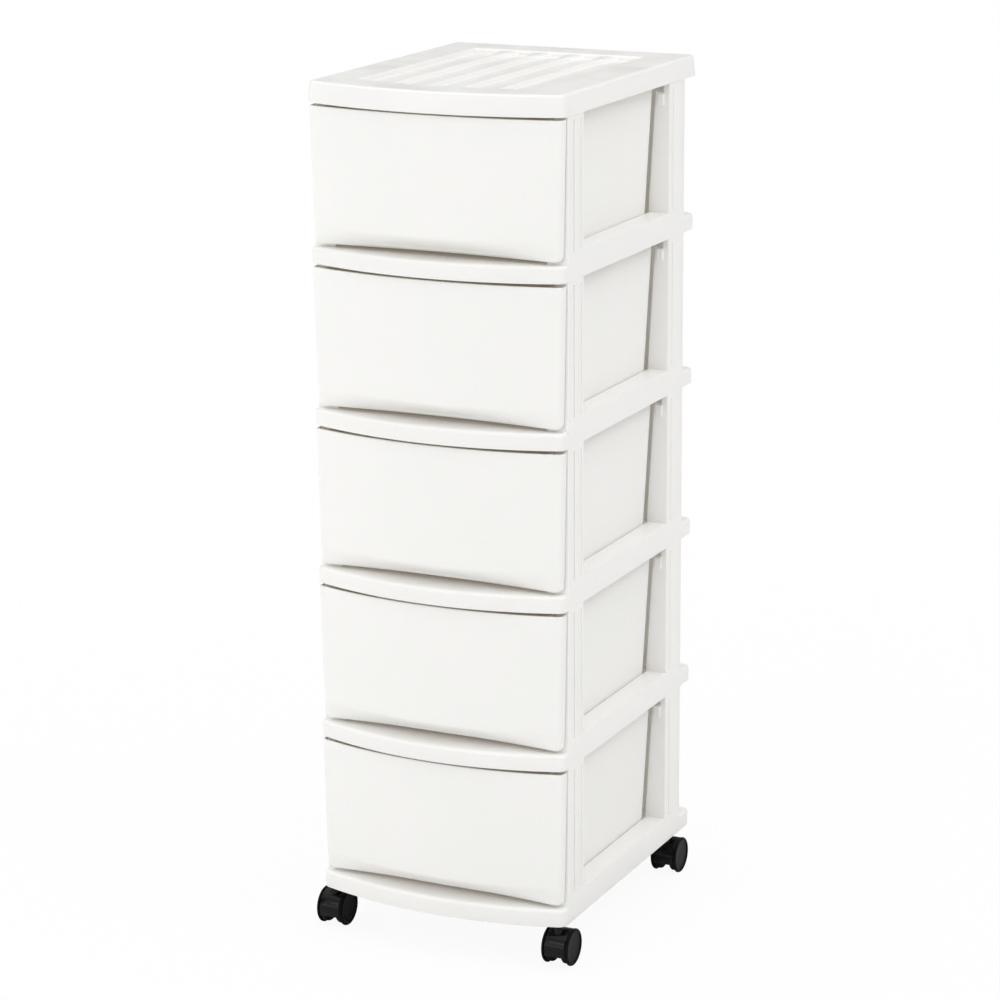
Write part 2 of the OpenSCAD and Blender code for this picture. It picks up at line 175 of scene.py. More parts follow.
def rounded_box(low, high, radius, steps=3):
    """Rings of a box with all its edges rounded. Corner k turns the arc (r sin a, r cos a) by k
    quarter turns, and the top and bottom rings move in by r (1 - cos a) as they leave the wall."""
    low, high = np.asarray(low, float), np.asarray(high, float)
    turn = quarter(steps)
    corners = [(1, -1, -90), (1, 1, 0), (-1, 1, 90), (-1, -1, 180)]

    def ring(inset, z):
        """The plan's outline, inset mm inside it, at height z."""
        r = radius - inset
        parts = []
        for sx, sy, start in corners:
            a = np.radians(start) + turn
            centre = [high[0] - radius if sx > 0 else low[0] + radius,
                      high[1] - radius if sy > 0 else low[1] + radius]
            parts.append(np.column_stack([centre[0] + r * np.cos(a), centre[1] + r * np.sin(a)]))
        return at_height(np.vstack(parts), z)

    insets = 0.98 * radius * (1 - np.cos(turn))
    drops = radius * (1 - np.sin(turn))
    bottom = [ring(i, low[2] + d) for i, d in zip(insets[::-1], drops[::-1])]
    top = [ring(i, high[2] - d) for i, d in zip(insets, drops)]
    return np.array(bottom + top)


def revolved(profile, centre, axis, steps=72):
    """A profile of (radius, distance along the axis) turned about a line through centre. Point =
    centre + radius (cos a u + sin a v) + distance axis, where u and v are square to the axis."""
    axis = np.asarray(axis, float)
    u = np.cross(axis, [0.0, 0.0, 1.0]) if abs(axis[2]) < 0.9 else np.array([1.0, 0.0, 0.0])
    v = np.cross(axis, u)
    a = np.linspace(0, 2 * np.pi, steps, endpoint=False)
    spokes = np.outer(np.cos(a), u) + np.outer(np.sin(a), v)
    profile = np.asarray(profile, float)
    return (np.asarray(centre, float) + profile[:, :1, None] * spokes
            + profile[:, 1:, None] * axis)


print("mesh helpers ready")

# %% [markdown]
# ## The outline of a tray
#
# A tray is moulded in one piece: a plate, a skirt all round it, and rounded corners. It could be an
# extruded outline with a Bevel modifier, but the modifier would round every edge alike. Here a ring
# of points runs round the plan, and rings set in by growing distances, each at its own height, draw
# the skirt and the rounded edge. The innermost ring is the border of a plain grid that fills the
# plate. Its rounded corners have shrunk to points there, so the two meet exactly.

# %% Outline rings and the grid inside them


class Columns:
    """Where the columns of a ring stand: across as fractions of the half width, along as fixed
    values of y, and a few between them and the corners."""

    def __init__(self, across, along, blend=4, turn=6):
        self.across = np.asarray(across, float)
        self.along = np.asarray(along, float)
        self.between = np.linspace(0, 1, blend + 1)
        self.turn = turn

    def ring(self, half_w, front, back, front_r, back_r):
        """Closed ring. front is a function of x. The right half runs along the front, round the
        corner's arc, down the side, round the back corner and along the back; the left mirrors it.
        A corner's arc starts at the front's own slope, so that it joins it smoothly."""
        x_c = half_w - front_r
        lean = np.arctan(float(front(x_c + 0.5) - front(x_c - 0.5)))
        x_t = x_c + front_r * np.sin(lean)
        y_c = float(front(x_t)) + front_r * np.cos(lean)
        y_e = back - back_r
        x = self.across * x_t
        a = np.linspace(lean, np.pi / 2, self.turn + 1)[1:]
        side = np.concatenate([y_c + (self.along[0] - y_c) * self.between[1:-1], self.along,
                               self.along[-1] + (y_e - self.along[-1]) * self.between[1:-1]])
        b = np.linspace(0, np.pi / 2, self.turn + 1)
        rear = (half_w - back_r) * self.across[::-1][1:]
        right = np.vstack([
            np.column_stack([x, front(x)]),
            np.column_stack([x_c + front_r * np.sin(a), y_c - front_r * np.cos(a)]),
            np.column_stack([np.full(len(side), half_w), side]),
            np.column_stack([half_w - back_r + back_r * np.cos(b), y_e + back_r * np.sin(b)]),
            np.column_stack([rear, np.full(len(rear), back)]),
        ])
        left = right[1:-1][::-1] * [-1, 1]
        return np.vstack([right, left])

    def core(self, half_w, front, back):
        """The grid whose border is ring(half_w, front, back, 0, 0), as x and y arrays."""
        x = np.concatenate([-self.across[:0:-1], self.across]) * half_w
        near = front(x)
        rows = [near + (self.along[0] - near) * t for t in self.between[:-1]]
        rows += [np.full(len(x), y) for y in self.along]
        rows += [np.full(len(x), self.along[-1] + (back - self.along[-1]) * t)
                 for t in self.between[1:]]
        return np.broadcast_to(x, (len(rows), len(x))), np.array(rows)


CORE, FRONT_R, BACK_R = 10.0, 10.0, 8.0


def tray_ring(columns, inset, reach):
    """The outline of a tray with that bow, inset mm inside it. Its corner radii shrink by the
    inset, down to 0."""
    return columns.ring(HALF_W - inset, lambda x: bow(x, inset, reach), BACK - inset,
                        max(FRONT_R - inset, 0.0), max(BACK_R - inset, 0.0))


def tray_core(columns, reach):
    """The grid inside the ring at an inset of CORE, where the corner radii have shrunk to 0."""
    return columns.core(HALF_W - CORE, lambda x: bow(x, CORE, reach), BACK - CORE)


def edge_drop(inset, radius):
    """How far an edge of that radius lies below the top at a distance inset from the wall."""
    reach = np.clip(radius - inset, 0, radius)
    return radius - np.sqrt(radius**2 - reach**2)


def ledge(t, radius, height):
    """A step up at t = 0 with a rounded top edge: 0 before it, height past the radius."""
    return np.where(t < 0, 0.0, height - edge_drop(np.maximum(t, 0), radius))


print("outline helpers ready")

# %% [markdown]
# ## Shader maths
#
# A material is a small calculation for each point of the surface. Written with nodes alone it is
# hard to read, so a socket is wrapped in a class whose operators add the Math nodes: `1 - mask * 2`
# builds two of them. Colours go through a Mix node, because a Math node turns a colour grey.

# %% Shader helper


class Socket:
    """A shader value. Arithmetic on it adds Math nodes to its tree."""

    def __init__(self, tree, socket):
        self.tree, self.socket = tree, socket

    def _math(self, operation, a, b):
        """A Math node over two values, each of which is a Socket or a number."""
        node = self.tree.nodes.new("ShaderNodeMath")
        node.operation = operation
        for slot, value in zip(node.inputs, (a, b)):
            if isinstance(value, Socket):
                self.tree.links.new(value.socket, slot)
            else:
                slot.default_value = value
        return Socket(self.tree, node.outputs[0])

    def __add__(self, other):
        return self._math("ADD", self, other)

    def __radd__(self, other):
        return self._math("ADD", other, self)

    def __sub__(self, other):
        return self._math("SUBTRACT", self, other)

    def __rsub__(self, other):
        return self._math("SUBTRACT", other, self)

    def __mul__(self, other):
        return self._math("MULTIPLY", self, other)

    def __rmul__(self, other):
        return self._math("MULTIPLY", other, self)


class Finish:
    """One procedural material with a Principled shader, on Object coordinates."""

    def __init__(self, name, **constants):
        self.material = bpy.data.materials.new(name)
        self.material.use_nodes = True
        self.tree = self.material.node_tree
        self.shader = self.tree.nodes["Principled BSDF"]
        for key, value in constants.items():
            self.shader.inputs[key.replace("_", " ")].default_value = value
        self.place = self.node("ShaderNodeTexCoord", output="Object")

    def node(self, kind, settings=None, output=0, **inputs):
        """Adds a node: its settings first, then the value or link of each input. An input goes by
        its name, or by its index as in _2."""
        node = self.tree.nodes.new(kind)
        for key, value in (settings or {}).items():
            setattr(node, key, value)
        for key, value in inputs.items():
            target = node.inputs[int(key[1:]) if key[0] == "_" else key.replace("_", " ")]
            if isinstance(value, Socket):
                self.tree.links.new(value.socket, target)
            else:
                target.default_value = value
        return Socket(self.tree, node.outputs[output])

    def noise(self, scale, detail=3.0, roughness=0.5, stretch=(1, 1, 1)):
        """Cloudy noise, about 0.3 to 0.7, scale patches a metre, stretched along the axes."""
        moved = self.node("ShaderNodeMapping", Vector=self.place, Scale=stretch)
        return self.node("ShaderNodeTexNoise", Vector=moved, Scale=scale, Detail=detail,
                         Roughness=roughness)

    def ramp(self, value, low, high, start, end):
        """Value mapped from start..end to low..high, clamped."""
        return self.node("ShaderNodeMapRange", Value=value, From_Min=start, From_Max=end,
                         To_Min=low, To_Max=high)

    def mix(self, factor, a, b):
        """Colour a where factor is 0, b where it is 1."""
        return self.node("ShaderNodeMix", {"data_type": "RGBA"}, 2, _0=factor, _6=a, _7=b)

    def feed(self, **links):
        """Links values to the shader's own sockets."""
        for key, value in links.items():
            self.tree.links.new(value.socket, self.shader.inputs[key.replace("_", " ")])

    def bump(self, height, strength, distance):
        """Height, 0 to 1, tilts the normal as a relief of that distance in metres would."""
        normal = self.node("ShaderNodeBump", Height=height, Strength=strength, Distance=distance)
        self.feed(Normal=normal)


print("shader helper ready")

# %% [markdown]
# ## White moulded plastic
#
# The frame and the drawers are polypropylene. It is a slightly warm white with a satin surface.
# Seen close up it has a fine moulded grain. Seen from afar it has slow, shallow waves where the
# plastic shrank as it cooled, and those make soft patches in its sheen. Thin walls of it let a
# little light through, and a very weak warm emission, a painted glow, stands in for that. It hardly
# shows on an outer face, but it adds up between two walls, so that gaps turn brownish and not
# black: painted light that lifts their shade. Its roughness wanders in wide wisps, as if hands and
# cloths had smoothed some of it.

# %% Plastic finishes


def white_plastic(name, pale, tinted, rough):
    """Two whites in slow patches, grain and waves as bump, and a roughness that wanders."""
    # The emission is a weak warm painted glow, not a lamp, which lifts the shade in gaps between
    # walls.
    f = Finish(name, IOR=1.46, Specular_IOR_Level=0.45, Emission_Color=(1.0, 0.76, 0.52, 1),
               Emission_Strength=0.024)
    patches = f.noise(7.0, 2.0)
    wisps = f.noise(22.0, 4.0, 0.6, (1, 1, 0.35))
    grain = f.noise(1500.0, 2.0)
    waves = f.noise(14.0, 1.0)
    specks = f.noise(420.0, 1.0)
    tone = f.ramp(patches, 0.0, 1.0, 0.35, 0.65)
    base = f.mix(tone, pale, tinted)
    dust = f.ramp(specks, 0.0, 0.10, 0.70, 0.80)
    f.feed(Base_Color=f.mix(dust, base, (0.62, 0.60, 0.55, 1)),
           Roughness=f.ramp(wisps, rough - 0.05, rough + 0.07, 0.35, 0.65))
    f.bump(grain * 0.12 + waves * 0.88, 0.35, 0.0004)
    return f.material


FRAME_WHITE = white_plastic("frame_plastic", (0.918, 0.915, 0.898, 1), (0.906, 0.906, 0.892, 1),
                            0.36)
DRAWER_WHITE = white_plastic("drawer_plastic", (0.928, 0.926, 0.910, 1), (0.914, 0.917, 0.900, 1),
                             0.42)


def black_plastic(name, colour, rough, shine, grain_scale, grain):
    """Black nylon: a near-black base greyed by fine scuffs, and a grain of its own scale."""
    f = Finish(name, IOR=1.5, Specular_IOR_Level=shine)
    fine = f.noise(grain_scale, 3.0)
    scuffs = f.noise(260.0, 5.0, 0.7, (1, 0.25, 0.25))
    rub = f.ramp(scuffs, 0.0, 1.0, 0.58, 0.75)
    f.feed(Base_Color=f.mix(rub * 0.3, colour, (0.022, 0.022, 0.021, 1)),
           Roughness=f.ramp(fine, rough - 0.05, rough + 0.08, 0.3, 0.7) + rub * 0.08)
    f.bump(fine, grain, 0.0001)
    return f.material


GLOSS_BLACK = black_plastic("caster_plastic", (0.003, 0.003, 0.003, 1), 0.10, 0.20, 900.0, 0.04)
SATIN_BLACK = black_plastic("wheel_plastic", (0.003, 0.003, 0.003, 1), 0.34, 0.07, 1600.0, 0.2)


def plated_steel(name):
    """Zinc-plated steel: grey, fine lines round its length, and duller spots."""
    f = Finish(name, Metallic=1.0)
    lines = f.noise(2400.0, 2.0, 0.5, (0.15, 0.15, 1))
    spots = f.noise(300.0, 3.0)
    tone = f.ramp(spots, 0.0, 1.0, 0.4, 0.7)
    f.feed(Base_Color=f.mix(tone, (0.66, 0.66, 0.65, 1), (0.52, 0.52, 0.50, 1)),
           Roughness=f.ramp(lines, 0.22, 0.42, 0.3, 0.7))
    f.bump(lines, 0.2, 0.00005)
    return f.material


STEEL = plated_steel("plated_steel")


def paint(obj, material):
    """Gives a piece or a carried node that one material."""
    obj.data.materials.clear()
    obj.data.materials.append(material)


def place(obj, nodes, body, material):
    """Gives a finished piece its material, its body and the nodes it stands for."""
    paint(obj, material)
    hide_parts(*nodes)
    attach(obj, body)


print("finishes", [m.name for m in (FRAME_WHITE, DRAWER_WHITE, GLOSS_BLACK, SATIN_BLACK, STEEL)])

# %% [markdown]
# ## Shelves and base
#
# A shelf is an upturned tray. Its plate lies 11 mm below the tops of two side rails, on which the
# posts stand. Its front lip follows the bow and has a rounded upper edge of 4 mm, while the rails'
# edges have only 1 mm. So the rings round the outline read their height and their edge radius from
# the place that they pass. Ribs stiffen the plate from below.

# %% Trays
RIB_X, RIB_Y, RIB_HALF = (-75, 0, 75), (-110, 0, 110), 0.9
COLLAR_X, COLLAR_Y, COLLAR_HALF = 138.5, (-135.2, 138.1), (7.6, 12.6)
RAIL_R = 1.0
RAIL_ACROSS = [0, 20, 40, 60, 80, 100, 112, 120, 125.48, 125.5, 125.6, 125.8, 126.1, 126.5,
               127.88, 127.9, 128.2, 134, 140]
RAIL_ALONG = [-158, -155.52, -155.5, -155.4, -155.2, -154.9, -154.5, -153.12, -153.1, -152.8,
              -115, -75, -35, 0, 35, 75, 115, 145, 157.5, 157.8, 157.82, 159.2, 159.6, 159.9,
              160.1, 160.2, 160.22, 176]
TRAY_COLUMNS = Columns(np.array(RAIL_ACROSS) / (HALF_W - CORE), RAIL_ALONG)
LIP_R = 4.0


def rail_step(x, y):
    """Height of the rails above the plate: the lowest of the steps at its three free sides."""
    steps = [ledge(np.abs(x) - RAIL_IN, RAIL_R, PLATE_DROP),
             ledge(y - RAIL_FRONT, RAIL_R, PLATE_DROP), ledge(RAIL_BACK - y, RAIL_R, PLATE_DROP)]
    return np.minimum.reduce(steps)


def rail_pocket(x, y):
    """The same for the hollow under a rail, one wall thickness inside it."""
    steps = [ledge(np.abs(x) - RAIL_IN - WALL, 0.2, PLATE_DROP),
             ledge(y - RAIL_FRONT - WALL, 0.2, PLATE_DROP),
             ledge(RAIL_BACK - WALL - y, 0.2, PLATE_DROP)]
    return np.minimum.reduce(steps)


def add_ribs(s, low, high):
    """Three ribs each way under a plate, and a collar round each of the posts' plugs."""
    high += 0.5
    for x in RIB_X:
        s.solid(rounded_box([x - RIB_HALF, -164, low + 2], [x + RIB_HALF, 189.8, high], 0.4, 2))
    for y in RIB_Y:
        s.solid(rounded_box([-127, y - RIB_HALF, low + 2], [127, y + RIB_HALF, high], 0.4, 2))
    for x in (-COLLAR_X, COLLAR_X):
        for y in COLLAR_Y:
            s.solid(rounded_box([x - COLLAR_HALF[0], y - COLLAR_HALF[1], low + 1],
                                [x + COLLAR_HALF[0], y + COLLAR_HALF[1], high], 1.0, 2))


def make_tray(top, height, reach):
    """Rings from the underside's rim, over the bottom edge, up the skirt and over the top edge to
    the plate, whose height at x, y is plate + rail_step. The underside follows it, a wall lower."""
    low, plate = top - height, top - PLATE_DROP
    s = Surface()
    rings = []
    for inset, z in [(WALL, low + 0.5), (WALL - 0.4, low), (0.8, low), (0.35, low + 0.15),
                     (0.08, low + 0.45), (0.0, low + 0.9)]:
        rings.append(at_height(tray_ring(TRAY_COLUMNS, inset, reach), z))
    for inset in [*LIP_R * (1 - np.cos(quarter(7))), 6.0, CORE]:
        ring = tray_ring(TRAY_COLUMNS, inset, reach)
        step = rail_step(*ring.T)
        radius = np.where(step > 0, RAIL_R, LIP_R)
        rings.append(at_height(ring, plate + step - edge_drop(inset, radius)))
    s.grid(np.array(rings), closed=True)
    x, y = tray_core(TRAY_COLUMNS, reach)
    s.grid(np.stack([x, y, plate + rail_step(x, y)], -1))
    under = []
    for inset in (WALL, CORE):
        ring = tray_ring(TRAY_COLUMNS, inset, reach)
        under.append(at_height(ring, plate - WALL + rail_pocket(*ring.T)))
    s.grid(np.array([rings[0], *under]), closed=True)
    s.grid(np.stack([x, y, plate - WALL + rail_pocket(x, y)], -1))
    add_ribs(s, low, plate - WALL)
    return s


for tray in range(1, 5):
    piece = make_tray(rail_z(tray), RAIL, SHELF_BOW).piece(f"shelf_{tray}_moulding")
    place(piece, [f"shelf_{tray}"], "frame", FRAME_WHITE)
print("a shelf has", len(piece.data.polygons), "faces")

STEM_X, STEM_Y = 140.5, {"front": -160.5, "back": 147.7}
UPRIGHT = (0, 0, 1)
base = make_tray(rail_z(5), BASE_RAIL, BOW)
socket_high = BASE_Z + BASE_RAIL - PLATE_DROP - WALL
bore, boss = 6.05, 8.5
boss_wall = [(bore, BASE_Z + 1), (6.4, BASE_Z + 0.6), (8.1, BASE_Z + 0.6), (boss, BASE_Z + 1),
             (boss, socket_high + 0.5)]
bore_wall = [(bore, BASE_Z + 1), (bore, socket_high)]
for x in (-STEM_X, STEM_X):
    for y in STEM_Y.values():
        base.grid(revolved(boss_wall, (x, y, 0), UPRIGHT, 40), closed=True)
        base.grid(revolved(bore_wall, (x, y, 0), UPRIGHT, 40), closed=True)
place(base.piece("base_moulding"), ["base_frame"], "frame", FRAME_WHITE)

# %% [markdown]
# ## Lid
#
# The lid is a tray as well, a little larger, with a skirt that leans in as it rises and a rounded
# top edge. Its top is a height map: a flat border, a panel sunk 5 mm into it, and four ridges that
# run from front to back and widen as they meet the panel's back wall. Every edge in it is a quarter
# ellipse, so it is level where it leaves the border and upright at its foot.

# %% Lid
LID_LOW, LID_TOP = ceiling_z(1), ceiling_z(1) + LID_H
RECESS = {"half_w": 105.0, "side": 3.2, "inset": 42.0, "back": 150.0, "rear": 5.0, "depth": 5.0,
          "near": 3.0}
RIDGES = {"x": (-61.5, -20.5, 20.5, 61.5), "half": 0.6, "round": 4.4, "height": 4.0, "front": 4.0,
          "flare": 9.0, "flare_start": 78.0, "flare_run": 70.0}
lid_across = np.concatenate([np.arange(0, 100, 0.8), np.arange(100.2, 105.2, 0.4),
                             [107, 112, 118, 125, 132, 140]])
lid_along = np.concatenate([np.arange(-158, -112, 1.5), np.arange(-112, 58, 6.0),
                            np.arange(60, 142, 1.6), np.arange(142.4, 150.8, 0.8),
                            [158, 166, 176]])
LID_COLUMNS = Columns(lid_across / (HALF_W - CORE), lid_along)
LID_EDGE_IN, LID_EDGE_R, LID_EDGE_H, LID_INSIDE = 0.4, 4.0, 4.2, 2.6


def smooth_step(t):
    """0 below 0, 1 above 1, and the cubic 3t^2 - 2t^3 between."""
    t = np.clip(t, 0, 1)
    return t * t * (3 - 2 * t)


def brow(t):
    """A quarter ellipse: 1 and level at t = 0, and 0 and upright at t = 1, like a rounded edge."""
    return np.sqrt(1 - np.clip(t, 0, 1) ** 2)


def lid_height(x, y):
    """The sunk panel lies below the highest of the rounded edges at its sides. A ridge is such an
    edge on both flanks, which spread apart near its back end, and at its front end, whose rounding
    is as long as the ridge is high."""
    near = bow(x, RECESS["inset"], LID_BOW)
    edges = [brow((RECESS["half_w"] - np.abs(x)) / RECESS["side"]),
             brow((y - near) / RECESS["near"]), brow((RECESS["back"] - y) / RECESS["rear"])]
    rising = smooth_step((y - RIDGES["flare_start"]) / RIDGES["flare_run"])
    spread = RIDGES["flare"] * rising**2
    share = RIDGES["height"] / RECESS["depth"]
    ends = brow(1 - (y - near - RIDGES["front"]) / RIDGES["height"])
    for centre in RIDGES["x"]:
        away = np.abs(x - centre) - RIDGES["half"] - 0.3 * spread
        edges.append(share * ends * brow(away / (RIDGES["round"] + 0.7 * spread)))
    return RECESS["depth"] * (np.maximum.reduce(edges) - 1)


lid = Surface()
lid_rings = []
for inset, z in [(0.9, LID_LOW + 0.5), (0.5, LID_LOW), (-0.7, LID_LOW), (-1.2, LID_LOW + 0.2),
                 (-1.45, LID_LOW + 0.6), (-1.5, LID_LOW + 1.2), (-0.5, LID_LOW + 10)]:
    lid_rings.append(at_height(tray_ring(LID_COLUMNS, inset, LID_BOW), z))
for a in quarter(7):
    ring = tray_ring(LID_COLUMNS, LID_EDGE_IN + LID_EDGE_R * (1 - np.cos(a)), LID_BOW)
    lid_rings.append(at_height(ring, LID_TOP - LID_EDGE_H * (1 - np.sin(a))))
for inset in (6.5, CORE):
    lid_rings.append(at_height(tray_ring(LID_COLUMNS, inset, LID_BOW), LID_TOP))
lid.grid(np.array(lid_rings), closed=True)
lid_x, lid_y = tray_core(LID_COLUMNS, LID_BOW)
lid.grid(np.stack([lid_x, lid_y, LID_TOP + lid_height(lid_x, lid_y)], -1))
lid_under = LID_TOP - RECESS["depth"] - WALL
under = [lid_rings[0], at_height(tray_ring(LID_COLUMNS, LID_INSIDE, LID_BOW), lid_under)]
lid.grid(np.array(under), closed=True).cap(under[-1])
add_ribs(lid, LID_LOW, lid_under)
lid_piece = lid.piece("lid_moulding")
place(lid_piece, ["lid"], "frame", FRAME_WHITE)
print("the lid has", len(lid_piece.data.polygons), "faces")

# %% [markdown]
# ## Posts
#
# A post is a channel that opens inwards. Its outer face is flush with the rails above and below, so
# no joint shows from the side. Thin grooves run down that face, and its inner edges lean as the
# drawers do. It is one closed profile carried upwards, whose points move with the height: the inner
# edges lean, and the grooves start and end a little way from the post's ends. The faces run a
# millimetre past the joints, a hair proud of the rails, so that the seam is covered. A back post's
# rear web reaches far in behind the drawers and stands on the plate.

# %% Posts
POST_IN, BACK_IN, REAR_WEB = 126.1, 125.2, 97.0
FRONT_DEPTH, BACK_DEPTH, EDGE_R = 40.6, 44.2, 1.2
FRONT_GROOVES, BACK_GROOVES = [(-140.0, 3.0, 1.7), (-122.1, 2.0, 1.0)], [(127.2, 2.0, 1.0)]
NOTCH_IN, NOTCH_H = 143.0, 10.0
PLUG_X, PLUG_HALF, PLUG_H = (133.5, 143.5), 10.0, 8.5
GUIDE_X, GUIDE_Y, GUIDE_BELOW = (136.6, 144.0), (112.0, 116.6), (24.8, 11.1)
OUT = HALF_W + 0.03


def post_rows(y0, y1, grooves, low, high, back):
    """Closed profiles from low to high, as rows x points x 3. Inner edge x = start + draft *
    height. A groove is (middle, width, depth). On a back post the rear web is long, and a notch
    moves the front web's inner edge out near the top."""
    turn = quarter(4)
    r = EDGE_R
    heights = [low - 1.0, low + 1.0, low + 1.6, (low + high) / 2, high - NOTCH_H - 0.02,
               high - NOTCH_H, high - 5.6, high - 5.0, high + 1.0]
    rows = []
    for z in heights:
        inner = (BACK_IN if back else POST_IN) + DRAFT * (z - low)
        web = NOTCH_IN if back and z > high - NOTCH_H - 0.01 else inner
        rear = REAR_WEB if back else inner
        cut = 1.0 if low + 1.5 < z < high - 5.5 else 0.0
        start = np.column_stack([OUT - r + r * np.sin(turn), y0 + r - r * np.cos(turn)])
        end = np.column_stack([OUT - r + r * np.cos(turn), y1 - r + r * np.sin(turn)])
        face = []
        for middle, width, depth in grooves:
            half, floor = width / 2, OUT - depth * cut
            face += [(OUT, middle - half - 0.25), (OUT - 0.08 * cut, middle - half),
                     (floor, middle - half + 0.15), (floor, middle + half - 0.15),
                     (OUT - 0.08 * cut, middle + half), (OUT, middle + half + 0.25)]
        inside = [(rear, y1), (rear, y1 - WALL), (HALF_W - WALL, y1 - WALL),
                  (HALF_W - WALL, y0 + WALL), (web, y0 + WALL), (web, y0)]
        rows.append(at_height(np.vstack([start, face, end, inside]), z))
    return np.array(rows)


def make_post(bay, front):
    """The channel with its two end plates and the plugs that they carry. A back post also has the
    guide block in its notch and the foot of its rear web."""
    low, high = rail_z(bay), ceiling_z(bay)
    s = Surface()
    if front:
        y0, y1, grooves = RAIL_FRONT, RAIL_FRONT + FRONT_DEPTH, FRONT_GROOVES
    else:
        y0, y1, grooves = RAIL_BACK - BACK_DEPTH, RAIL_BACK, BACK_GROOVES
    s.solid(post_rows(y0, y1, grooves, low, high, not front))
    for z in (low, high - WALL):
        inner = POST_IN + DRAFT * (z - low) + 0.2
        s.solid(rounded_box([inner, y0 + 1, z], [HALF_W - 1, y1 - 1, z + WALL], 0.2, 2))
    middle = (y0 + y1) / 2
    for z in (low - 8, high - 0.5):
        s.solid(rounded_box([PLUG_X[0], middle - PLUG_HALF, z],
                            [PLUG_X[1], middle + PLUG_HALF, z + PLUG_H], 0.8, 2))
    if not front:
        s.solid(rounded_box([GUIDE_X[0], GUIDE_Y[0], high - GUIDE_BELOW[0]],
                            [GUIDE_X[1], GUIDE_Y[1], high - GUIDE_BELOW[1]], 0.9, 4))
        s.solid(rounded_box([REAR_WEB + 0.05, y1 - WALL + 0.05, low - PLATE_DROP],
                            [BACK_IN, y1 - 0.05, low + 1], 0.2, 2))
    return s


for bay in range(1, 6):
    for where in ("front", "back"):
        for side in ("left", "right"):
            name = f"post_{bay}_{where}_{side}"
            piece = make_post(bay, where == "front").piece(name + "_moulding", side == "left")
            place(piece, [name], "frame", FRAME_WHITE)
print("a post has", len(piece.data.polygons), "faces")

# %% [markdown]
# ## Drawers
#
# A drawer is one moulding. Its front is a skin that bows like the trays, down to a crease. Below
# the crease the skin sweeps back to a nearly straight bottom edge and leaves room for fingers. The
# skin is a path across, turned round at both ends towards the posts, and carried from the bottom to
# the top. The crease is soft: the depth of the sweep is a smooth maximum of 0 and the distance
# below it.

# %% The front's skin
SKIN = {"crease": 12.5, "bottom": -7.5, "back": -156.8, "crown": 1.2, "crown_depth": 40.0,
        "lean": 1.5, "soft": 1.6, "corner": 5.0, "turn": 5.5, "bottom_y": -159.2, "bottom_bow": 7.0,
        "half": (145.0, 146.0, 148.5)}
TOP_GAP, GAP = 1.8, 2.6  # from a front's top edge to what closes its bay: the lid, or a shelf


def skin_face(x, z, top):
    """y of the front at x, and at z above the rail's top. It is the bow, leaning back by 1.5 mm
    from the top to the crease. Below the crease it runs in a straight line to the bottom edge's y,
    which is bottom_y - bottom_bow (x / half width)^2."""
    z = max(z, SKIN["bottom"])
    span = SKIN["crease"] - SKIN["bottom"]
    lean = SKIN["lean"] * (top - max(z, SKIN["crease"])) / (top - SKIN["crease"])
    below = SKIN["crease"] - z
    sweep = 0.5 * (below + np.sqrt(below**2 + SKIN["soft"] ** 2))
    across = np.asarray(x) / SKIN["half"][0]
    bottom_y = SKIN["bottom_y"] - SKIN["bottom_bow"] * np.square(across)
    return bow(x) + lean + (bottom_y - bow(x) - SKIN["lean"]) * sweep / span


def skin_half(z, top):
    """Half width: 148.5 at the top, 146 at the crease, 145 at the bottom, whose corners have a
    radius of 5 mm."""
    wide = np.interp(z, [SKIN["bottom"], SKIN["crease"], top], SKIN["half"])
    return wide - edge_drop(max(z - SKIN["bottom"], 0.0), SKIN["corner"])


def skin_row(z, inset, top, flat=False):
    """One path across: the left return, its corner, the face, and the same on the right. flat puts
    the whole row on the line of the returns' ends, where the skin's underside stops."""
    half = skin_half(z, top) - inset
    r = max(SKIN["turn"] - inset, 1.0)
    x_c = half - r

    def face(x):
        """y of this row's face."""
        return skin_face(x, z, top) + inset

    lean = np.arctan(float(face(x_c + 0.5) - face(x_c - 0.5)))
    x_t = x_c + r * np.sin(lean)
    y_c = float(face(x_t)) + r * np.cos(lean)
    x = np.linspace(0, x_t, 41)
    a = np.linspace(lean, np.pi / 2, 9)[1:]
    right = np.vstack([
        np.column_stack([x, face(x)]),
        np.column_stack([x_c + r * np.sin(a), np.minimum(y_c - r * np.cos(a), SKIN["back"])]),
        [(half, min(y_c * 0.5 + SKIN["back"] * 0.5, SKIN["back"])), (half, SKIN["back"])],
    ])
    if flat:
        right[:, 1] = SKIN["back"]
    left = right[:0:-1] * [-1, 1]
    return np.vstack([left, right])


def skin_rows(top):
    """The outer rows from the underside up over the top edge, and the inner rows back down."""
    low, r_low, r_top = SKIN["bottom"], 1.6, 1.1
    outer = [(low, r_low, True)]
    outer += [(low + r_low * (1 - np.sin(a)), r_low * (1 - np.cos(a)), False)
              for a in quarter(5)[::-1]]
    outer += [(z, 0.0, False) for z in (-4.5, -2.5, 0.0, 3.0, 6.0, 8.0, 9.5, 10.5, 11.5, 12.5, 13.5,
                                        14.5, 15.5, 17.0, 20.0, 28.0, 50.0, 80.0, 110.0, top - 8)]
    outer += [(top - r_top * (1 - np.sin(a)), r_top * (1 - np.cos(a)), False) for a in quarter(5)]
    inner = [(min(max(z, low + WALL), top), WALL, flat) for z, _, flat in outer]
    return outer, inner


def lift(rows, rail, top):
    """Rows of (z, inset, flat) as points in the tower, rail being the rail's top. The top edge is
    crowned: its rows sink by crown (x / 146)^2, and that fades out over the 40 mm below them."""
    lifted = []
    for z, inset, flat in rows:
        row = skin_row(z, inset, top, flat)
        fade = np.clip((z - top) / SKIN["crown_depth"] + 1, 0, 1)
        sink = SKIN["crown"] * np.square(row[:, 0] / SKIN["half"][1]) * fade
        lifted.append(at_height(row, rail + z - sink))
    return np.array(lifted)


